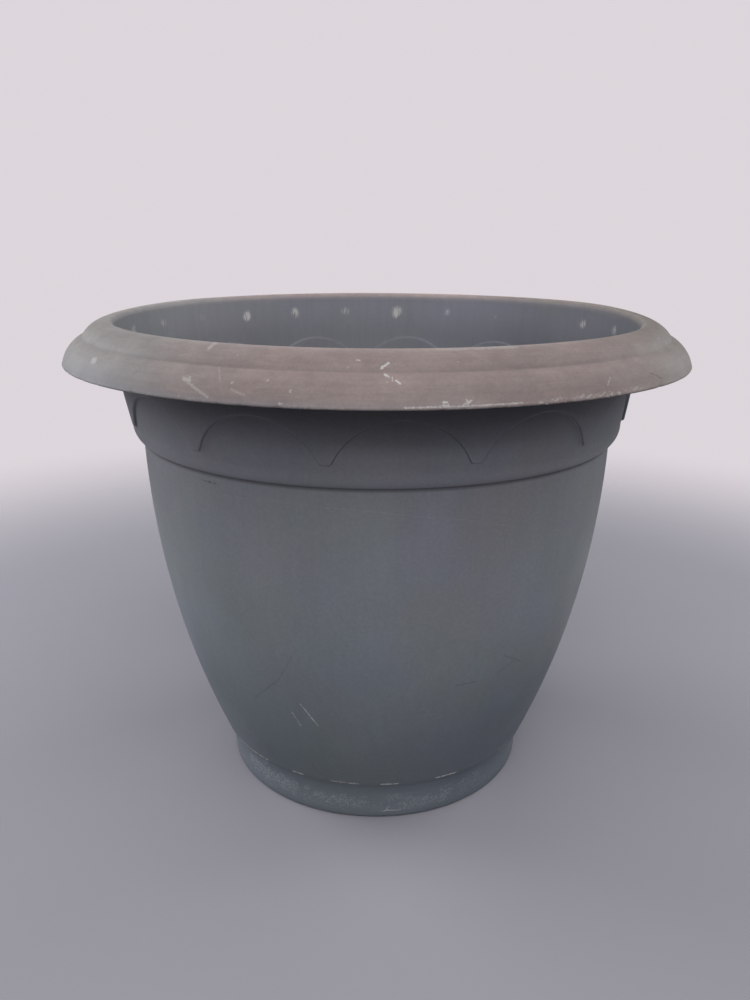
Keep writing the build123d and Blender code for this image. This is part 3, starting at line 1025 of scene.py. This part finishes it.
def faded_grey(s):
    """Old grey plastic whose cast drifts from place to place, with soft upright streaks."""
    colour = BLUE_GREY
    for cast, scale, squeeze, shift, low, high, strength in CASTS:
        patches = s.noise(scale, stretch=(1, 1, squeeze), shift=shift)
        colour = s.mix(s.span(patches, low, high, 0.0, strength), colour, cast)
    # Lower down, out of the sun, more of the first blue-green is left.
    teal = s.span(s.z, 0.05, 0.30, 1.0, 0.0)
    colour = s.mix(teal, colour, (0.92, 1.03, 1.05), kind="MULTIPLY")
    colour = s.mix(s.span(s.z, 0.2, 0.36), colour, (1.03, 0.99, 1.0), kind="MULTIPLY")
    cloud = s.span(s.noise(6, 4, 0.6, shift=(4, 4, 4)), 0.3, 0.7, 0.95, 1.05)
    streak = s.noise(22, 3, 0.6, stretch=(1, 1, 0.05), shift=(1, 8, 0))
    fine_streak = s.noise(120, 3, 0.7, stretch=(1, 1, 0.045), shift=(6, 8, 0))
    grain = s.noise(330, 4, 0.85, shift=(7, 7, 7))
    return s.scaled(
        colour, cloud, s.span(streak, 0.3, 0.75, 0.985, 1.02),
        s.span(fine_streak, 0.35, 0.7, 0.985, 1.02), s.span(grain, 0.3, 0.7, 0.93, 1.07),
    )


def body_colour(s):
    """The belly's colour, with painted shade: darker towards the bottom and much darker under the
    rim.
    """
    # The right side is lighter at the top and darker at the bottom.
    lean = s.times(s.span(s.x, 0.0, 0.11), s.span(s.z, 0.11, 0.27, -0.09, 0.09))
    body = s.scaled(
        faded_grey(s), s.span(s.z, 0.05, 0.24, 0.76, 1.21), s.span(s.z, 0.345, 0.375, 1.0, 0.84),
        s.span(s.z, 0.365, 0.420, 1.0, 0.41), s.plus(lean, 1.0),
    )
    # Painted shadow: under the rim, the front is darkest.
    under_rim_shadow = s.times(s.span(s.z, 0.374, 0.392), s.span(s.z, 0.402, 0.420, 1.0, 0.0))
    darker = s.span(s.math("ABSOLUTE", s.turn_from_front()), 0.0, 0.9, -0.32, 0.08)
    return s.scaled(body, s.plus(s.times(under_rim_shadow, darker), 1.0))


def rim_colour(s):
    """The rim is browner at the front and greyer at the sides, with fine lines round it, painted
    light at its back and on faces that point up, and painted shade to the right.
    """
    front = s.span(s.math("ABSOLUTE", s.facing_front()), 0.55, 0.95)
    # To the right the rim turns olive and darker: partly its own cast, partly painted shade.
    rim = s.mix(s.span(s.x, -0.1, 0.2), RIM_COOL, RIM_OLIVE)
    cast = s.plus(front, s.span(s.noise(7, 4, 0.6, shift=(5, 1, 4)), 0.3, 0.7, -0.35, 0.25))
    rim = s.mix(cast, rim, RIM_WARM)
    rings_round = s.noise(1, 3, 0.6, stretch=(7, 7, 420), shift=(0, 0, 3))
    bloom = s.noise(24, 5, 0.7, shift=(4, 4, 8))
    flecks = s.noise(55, 4, 0.75, stretch=(1, 1, 3), shift=(2, 2, 6), warp=0.8)
    # Painted light: the back of the rim and its upward faces are lighter.
    rim = s.scaled(
        rim, s.span(rings_round, 0.3, 0.7, 0.96, 1.04), s.span(bloom, 0.3, 0.72, 0.91, 1.09),
        s.span(s.noise(420, 4, 0.9), 0.32, 0.68, 0.93, 1.07),
        s.span(s.facing_front(), -0.7, 0.2, 1.5, 1.0), s.span(s.facing_up(), 0.6, 1.0, 1.0, 1.16),
        s.span(flecks, 0.35, 0.65, 0.94, 1.05),
    )
    # Towards the lip the rim is greyer, most of all on its left half.
    left = s.span(s.turn_from_front(), -0.5, 0.4, 1.0, 0.0)
    rim = s.mix(s.times(s.span(s.z, 0.426, 0.433, 0.55, 0.0), left), rim, LIP_GREY)
    far_left = s.span(s.turn_from_front(), -1.0, -0.5, 1.0, 0.0)
    rim = s.mix(s.times(s.span(s.z, 0.430, 0.444, 0.6, 0.0), far_left), rim, LEFT_LIP_GREY)
    return s.scaled(rim, s.span(s.z, 0.4262, 0.4345, 1.2, 1.0))


def inner_colour(s):
    """The inner wall, with painted light at the top and on the left, and painted shade on the right.
    """
    streak = s.noise(110, 4, 0.75, stretch=(1, 1, 0.1), shift=(3, 3, 3))
    grain = s.span(s.noise(420, 3, 0.9, shift=(4, 1, 7)), 0.35, 0.65, 0.97, 1.03)
    cast = s.span(s.noise(8, 3, 0.5, shift=(6, 6, 1)), 0.4, 0.62)
    inner = s.mix(cast, INNER_BLUE, INNER_GREEN)
    inner = s.scaled(inner, s.span(streak, 0.32, 0.7, 0.97, 1.04), grain)
    # Painted light at the top and on the left, painted shade on the right.
    inner = s.scaled(
        inner, s.span(s.x, -0.25, 0.02, 1.06, 1.0), s.span(s.x, 0.11, 0.23, 1.0, 0.6),
        s.span(s.z, 0.41, 0.455, 0.96, 1.3),
    )
    return s.mix(s.span(s.x, -0.24, 0.03, 1.0, 0.0), inner, (1.02, 1.02, 0.93), kind="MULTIPLY")


def pale_marks(s, wobble, break_up, outside):
    """Mask of chalky plastic: rubbed lip, frayed stretch, knocks, whitening by the gussets, and a
    painted highlight on the inner arches' edges.
    """
    speck = s.noise(330, 4, 0.75, shift=(8, 3, 3))
    patchy = s.span(s.noise(16, 4, 0.65, shift=(2, 5, 3)), 0.4, 0.6, 0.15, 1.0)
    lip_line = s.times(s.mark("wear"), s.span(speck, 0.4, 0.6), patchy)
    fray = s.noise(190, 4, 0.8, stretch=(1, 1, 1.4), shift=(1, 1, 9), warp=1.5)
    frayed = s.times(
        s.span(s.turn_from_front(), 0.25, 0.35), s.span(s.turn_from_front(), 0.55, 0.68, 1.0, 0.0),
        s.span(s.z, 0.4262, 0.4305, 1.0, 0.0), s.mark("rim"), outside, s.span(fray, 0.55, 0.60),
    )
    specks = s.span(s.noise(230, 2, 0.5, shift=(9, 2, 6)), 0.72, 0.78)
    specks = s.times(specks, s.mark("rim"), outside, 0.4)
    # Painted highlight along the edges of the inner wall's arches.
    inner_edge_highlight = s.times(s.mark("wear"), s.mark("inside"), 0.14)
    rim_knocks = s.times(strokes(s, RIM_MARKS + lip_marks(), wobble), s.mark("rim"))
    knocks = s.times(s.most(rim_knocks, strokes(s, BELLY_MARKS, wobble)), break_up)
    rubs = [(a, HEEL_RUB_Z, b, HEEL_RUB_Z, HEEL_RUB_WIDTH, power) for a, b, power in HEEL_RUBS]
    heel = s.times(strokes(s, rubs, wobble), s.span(s.noise(260, 3, 0.8, shift=(9, 1, 1)), 0.38, 0.5))
    fibres = s.noise(480, 3, 0.7, stretch=(1, 1, 0.16), shift=(6, 2, 2))
    whitened = s.times(s.mark("stress"), s.span(fibres, 0.4, 0.6, 0.5, 1.7))
    return s.most(
        s.times(lip_line, 0.2), s.times(frayed, 0.6), s.times(s.most(knocks, heel), outside),
        inner_edge_highlight, specks, s.span(whitened, 0.04, 0.65, 0.0, 0.95),
    )


def shell_material():
    s = Shader("weathered_pot_plastic")
    colour = s.mix(s.mark("rim"), body_colour(s), rim_colour(s))
    colour = s.mix(s.mark("inside"), colour, inner_colour(s))
    # Painted shade darkens the lip's lower edge and the inner arches' edges; dirt and painted shade
    # darken the folds.
    colour = s.mix(s.span(s.mark("wear"), 0.6, 1.0, 0.0, 0.5), colour, DIRT_AND_SHADE)
    colour = s.mix(s.times(s.mark("grime"), 0.7), colour, DIRT_AND_SHADE)
    # Knocks and scuffs have uneven edges, and are broken up by a fine noise.
    wobble = s.span(s.noise(500, 3, 0.8), 0.3, 0.7, -0.0004, 0.0005)
    break_up = s.span(s.noise(620, 3, 0.8, shift=(3, 3, 3)), 0.36, 0.54, 0.4, 1.0)
    outside = s.span(s.mark("inside"), 0.0, 0.2, 1.0, 0.0)
    chalk = pale_marks(s, wobble, break_up, outside)
    colour = s.mix(chalk, colour, CHALK)
    scuffs = s.times(strokes(s, SCUFFS, s.times(wobble, 2.0)), break_up, outside)
    colour = s.mix(scuffs, colour, DIRT_AND_SHADE)
    rough = s.plus(
        s.span(s.noise(13, 3, 0.6, shift=(1, 6, 2)), 0.3, 0.7, 0.42, 0.52),
        s.times(s.mark("rim"), 0.18), s.times(chalk, 0.2),
    )
    bump = s.plus(s.times(s.noise(1500, 2, 0.6), 0.06), s.times(s.noise(40, 2, 0.5), 0.4))
    return s.finished(s.plastic(colour, rough, bump, FINE_RELIEF))


def tray_material():
    s = Shader("dusty_tray_plastic")
    body = s.mix(0.4, faded_grey(s), TRAY_BLUE)
    # Painted shade: the tray is darker on its right side.
    body = s.scaled(body, s.span(s.x, 0.02, 0.13, 0.85, 0.77))
    # Dried splashes and dust cling in patches to the lower half.
    spread = s.span(s.noise(90, 5, 0.8, stretch=(1, 1, 2), shift=(5, 5, 1)), 0.3, 0.7, -0.005, 0.007)
    outside = s.span(s.radius(), TRAY_LOW_RADIUS * MM, (TRAY_LOW_RADIUS + 0.5) * MM)
    patch = s.most(strokes(s, DUST, spread), s.span(s.z, 0.008, 0.032, 0.35, 0.0))
    patch = s.times(patch, outside)
    fine = s.noise(520, 4, 0.95, stretch=(1, 1, 1.8), shift=(2, 2, 2))
    dust = s.times(patch, s.span(fine, 0.5, 0.57))
    film = s.times(patch, 0.15)
    colour = s.mix(film, body, TRAY_FILM)
    colour = s.mix(s.times(dust, 0.8), colour, TRAY_DUST)
    # Fine pale lines run round it, and its top edge is rubbed.
    lines = s.span(s.noise(1, 2, 0.6, stretch=(9, 9, 1500), shift=(1, 0, 0)), 0.62, 0.7)
    lines = s.times(lines, s.span(s.noise(25, 2, 0.5), 0.5, 0.65))
    colour = s.mix(s.times(lines, 0.35), colour, TRAY_LINES)
    wear = s.times(s.mark("wear"), s.span(s.noise(150, 4, 0.75), 0.5, 0.62))
    colour = s.mix(s.times(wear, 0.45), colour, CHALK)
    colour = s.mix(s.times(strokes(s, CHIP, 0.0), outside), colour, CHALK)
    rough = s.plus(0.46, s.times(dust, 0.3), s.times(film, 0.4))
    bump = s.plus(s.times(s.noise(1500, 2, 0.6), 0.06), s.times(dust, 0.35), s.times(lines, -0.2))
    return s.finished(s.plastic(colour, rough, bump, FINE_RELIEF))


def plain_plastic(name, base, rough):
    """Newer, darker plastic of the hidden pieces, with grain, dust and a few rubs."""
    s = Shader(name)
    dust = s.span(s.noise(35, 5, 0.7), 0.45, 0.7)
    colour = s.mix(s.times(dust, 0.35), base, [c * 2 + 0.03 for c in base])
    rubs = s.noise(700, 1, 0.5, stretch=(1, 0.03, 0.05), turn=(10, 20, 30))
    rubs = s.span(rubs, 0.66, 0.72)
    colour = s.mix(s.times(rubs, 0.3), colour, [c * 3 + 0.02 for c in base])
    roughness = s.plus(rough, s.times(dust, 0.2))
    bump = s.plus(s.times(s.noise(1200, 2, 0.6), 0.15), s.times(rubs, -0.3), s.times(dust, 0.1))
    return s.finished(s.plastic(colour, roughness, bump, 0.0003))


def floor_material():
    """Plain pale floor that melts into the backdrop further away."""
    s = Shader("pale_floor")
    colour = s.mix(s.noise(3, 3, 0.5), (0.36, 0.35, 0.40), (0.38, 0.37, 0.42))
    near = s.plastic(colour, 0.7, s.noise(200, 2, 0.5), 0.0001, specular=0.2)
    # Under the tray the floor glows, so that a view from below shows the tray's underside.
    glow = s.node("Emission", {"Color": (0.42, 0.42, 0.45)}).outputs[0]
    near = s.blend(s.span(s.radius(), (FOOT - 4.5) * MM, (FOOT - 3.5) * MM), glow, near)
    s.owner.cycles.emission_sampling = "NONE"
    # It can't be seen from below.
    below = s.node("NewGeometry").outputs["Backfacing"]
    clear = s.node("BsdfTransparent").outputs[0]
    return s.finished(s.blend(s.most(s.span(s.radius(), 0.7, 1.5), below), near, clear))


# ---- build and dress
def dress(piece, material, body, node):
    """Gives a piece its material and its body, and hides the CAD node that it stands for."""
    piece.data.materials.append(material)
    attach(piece, body)
    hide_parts(node)


shell = build_shell()
gussets = build_gussets()
tray = build_tray()
grid = build_grid()
plugs = [build_plug(i) for i in range(DRAINS)]

pot_plastic = shell_material()
tray_plastic = tray_material()
grid_plastic = plain_plastic("soil_grid_plastic", (0.035, 0.036, 0.038), 0.45)
plug_plastic = plain_plastic("drain_plug_plastic", (0.028, 0.028, 0.029), 0.5)

dress(shell, pot_plastic, "pot", "pot_shell")
dress(gussets, pot_plastic, "pot", "pot_shell")
dress(tray, tray_plastic, "tray", "base_tray")
dress(grid, grid_plastic, "grid", "soil_grid")
for number, plug in enumerate(plugs, start=1):
    dress(plug, plug_plastic, f"plug_{number}", f"drain_plug_{number}")

# ---- floor, light and camera
# The floor lies just under the object, so that the two faces don't coincide.
FLOOR_Z = -0.0005
FLOOR_HALF = 6
corners = [
    (-FLOOR_HALF, -FLOOR_HALF, FLOOR_Z), (FLOOR_HALF, -FLOOR_HALF, FLOOR_Z),
    (FLOOR_HALF, FLOOR_HALF, FLOOR_Z), (-FLOOR_HALF, FLOOR_HALF, FLOOR_Z),
]
floor = new_object("floor", corners, [(0, 1, 2, 3)])
floor.data.materials.append(floor_material())


LIGHT_TARGET = (0, 0, 0.3)


def area_light(name, place, size, power, colour):
    """A rectangular light that points at the object."""
    lamp = bpy.data.lights.new(name, "AREA")
    lamp.shape = "RECTANGLE"
    lamp.size, lamp.size_y = size
    lamp.energy = power
    lamp.color = colour
    light = added(name, lamp)
    light.location = place
    x, y, z = np.array(LIGHT_TARGET) - place
    light.rotation_euler = (atan2(hypot(x, y), -z), 0, atan2(y, x) - pi / 2)


# The strengths began as a helper program's fit to the photo's shading, and were then tuned.
area_light("overhead", (0, -1.2, 2.4), (2.4, 1.6), 33, (1.0, 0.99, 0.98))
area_light("left", (-2.4, 1.2, 1.1), (1.6, 1.6), 47, (0.98, 0.99, 1.0))
area_light("right", (2.4, 1.0, 1.1), (1.6, 1.6), 29, (0.98, 0.99, 1.0))
area_light("front", (-0.4, -2.8, 1.6), (1.8, 1.2), 23, (1.0, 1.0, 1.0))
area_light("back", (0, 2.6, 1.6), (2.4, 1.6), 14, (1.0, 1.0, 1.0))

# The camera sees a plain pale backdrop, and the object is lit by a dimmer version of it.
world = Shader("studio", bpy.data.worlds)
seen = world.node("Background", {"Color": (0.72, 0.67, 0.71)}).outputs[0]
lit = world.node("Background", {"Color": (0.95, 0.95, 1.0), "Strength": 0.06}).outputs[0]
camera_ray = world.node("LightPath").outputs["Is Camera Ray"]
scene = bpy.context.scene
scene.world = world.finished(world.blend(camera_ray, lit, seen), "OutputWorld")
scene.view_settings.view_transform = "Standard"

# The camera looks down at the front, a little to the left of one arch's middle.
CAMERA_TURN = FRONT - radians(4.66)
CAMERA_DISTANCE = 0.841
CAMERA_HEIGHT = 0.536
CAMERA_PITCH = radians(17.48)
CAMERA_ROLL = radians(0.27)
CAMERA_YAW = radians(0.08)
lens = bpy.data.cameras.new("camera")
lens.lens = 30.56
lens.sensor_width = 36
camera = added("camera", lens)
place = Matrix.Translation((*polar(CAMERA_DISTANCE, CAMERA_TURN), CAMERA_HEIGHT))
facing = Matrix.Rotation(CAMERA_TURN + pi / 2 + CAMERA_YAW, 4, "Z")
tilt = Matrix.Rotation(pi / 2 - CAMERA_PITCH, 4, "X")
roll = Matrix.Rotation(CAMERA_ROLL, 4, "Z")
camera.matrix_world = place @ facing @ tilt @ roll
bpy.context.scene.camera = camera
